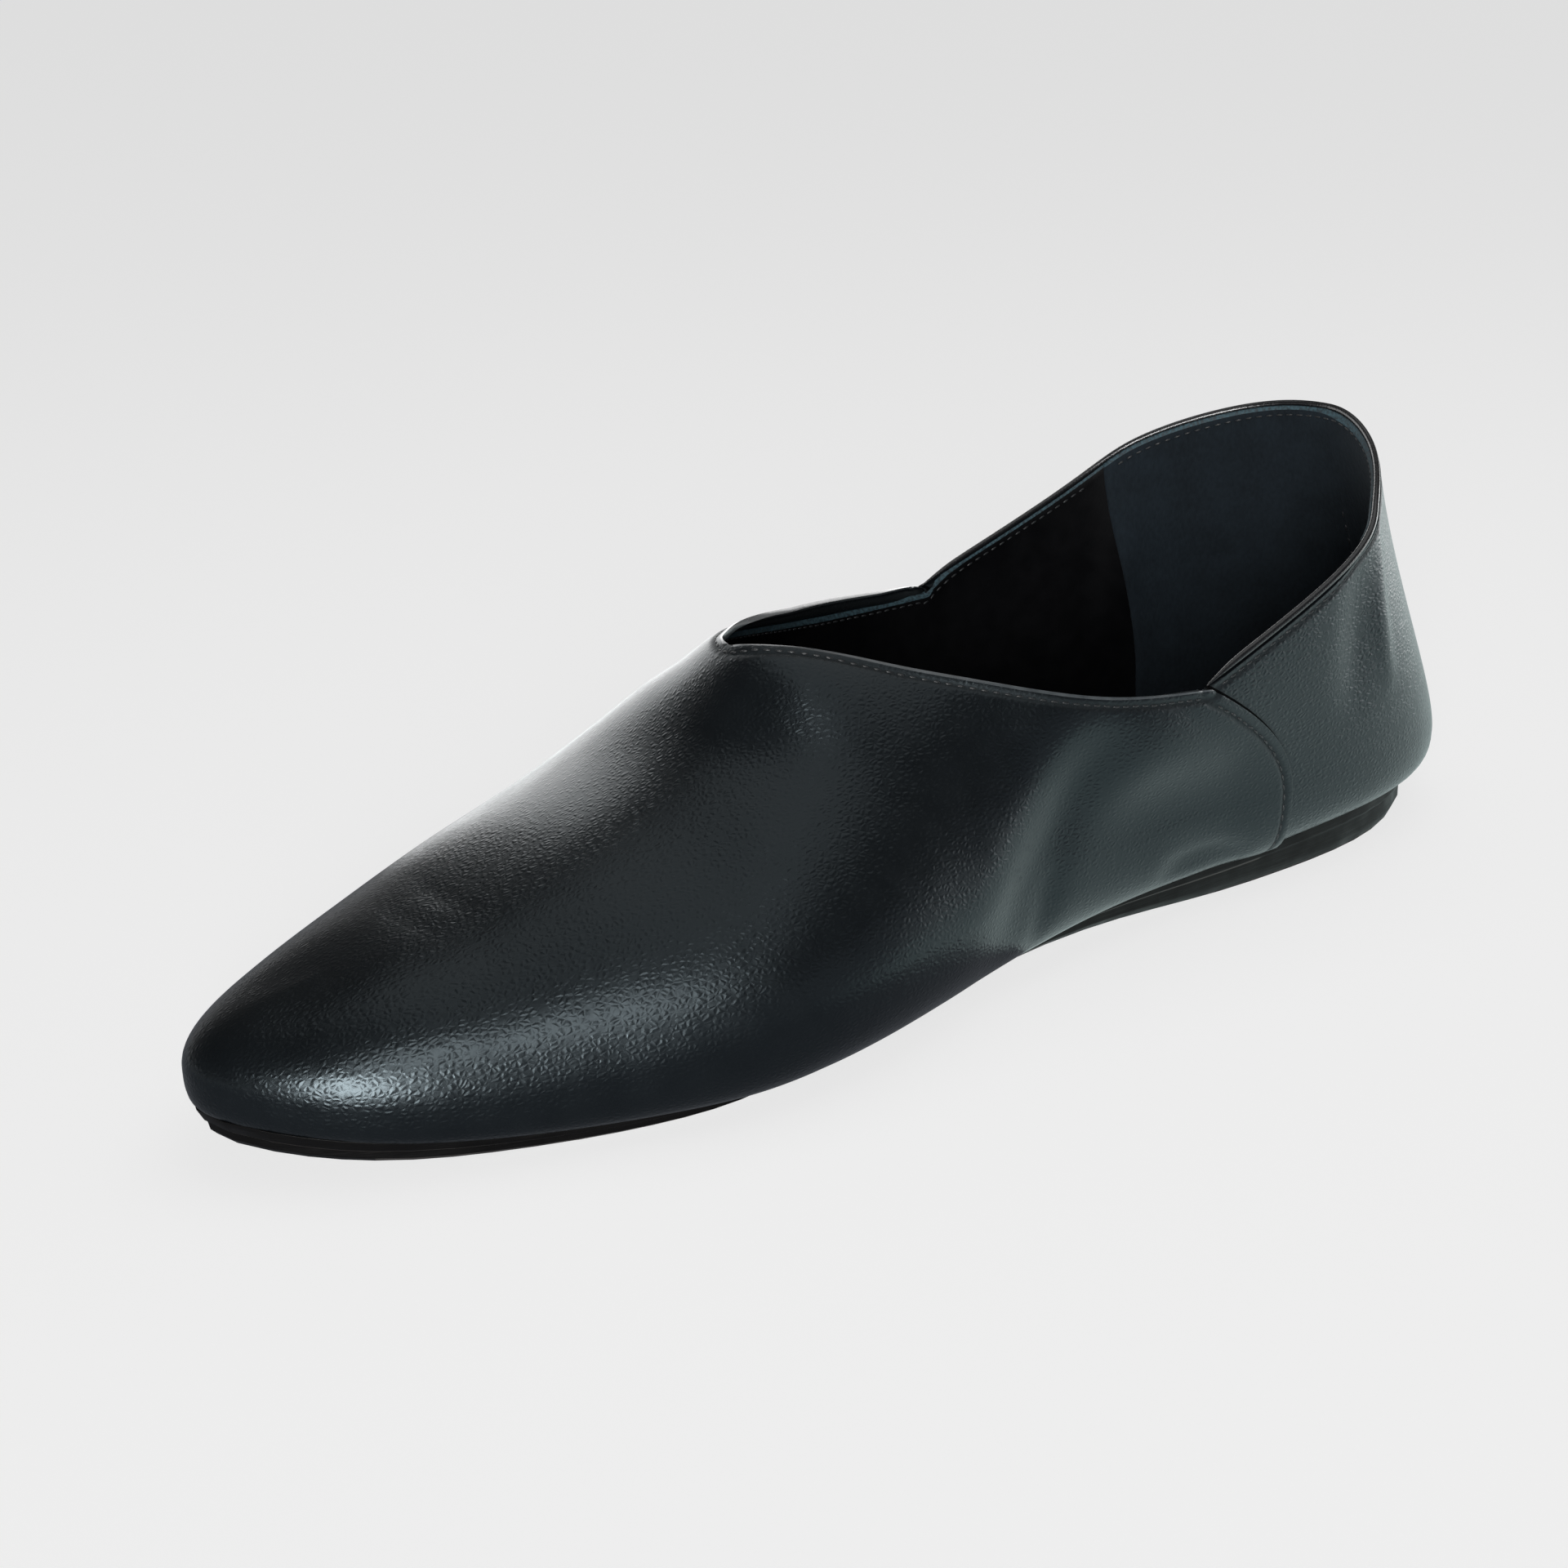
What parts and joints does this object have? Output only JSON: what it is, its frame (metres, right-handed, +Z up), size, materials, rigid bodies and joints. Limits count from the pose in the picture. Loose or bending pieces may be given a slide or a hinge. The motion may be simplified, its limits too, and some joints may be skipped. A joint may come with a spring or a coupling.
{
  "type": "slip-on shoe",
  "caption": "Right slip-on flat with a closed almond toe, low open throat, raised soft heel collar, hollow leather upper and thin low-heeled sole.",
  "frame": {"origin": "middle of the shoe's length and breadth, on the floor it stands on", "axes": "+X towards the toe, +Y towards the inner side of the right foot, +Z up"},
  "size_m": [0.262, 0.092, 0.0784],
  "materials": {
    "upper_leather": "satin fine-grained black leather",
    "binding_leather": "satin smooth black leather",
    "insole_leather": "matt black leather",
    "sole_leather": "satin brown-black sole leather"
  },
  "bodies": {
    "root": {"upper": "upper_leather", "collar_binding": "binding_leather", "insole": "insole_leather", "outsole": "sole_leather"}
  },
  "joints": []
}
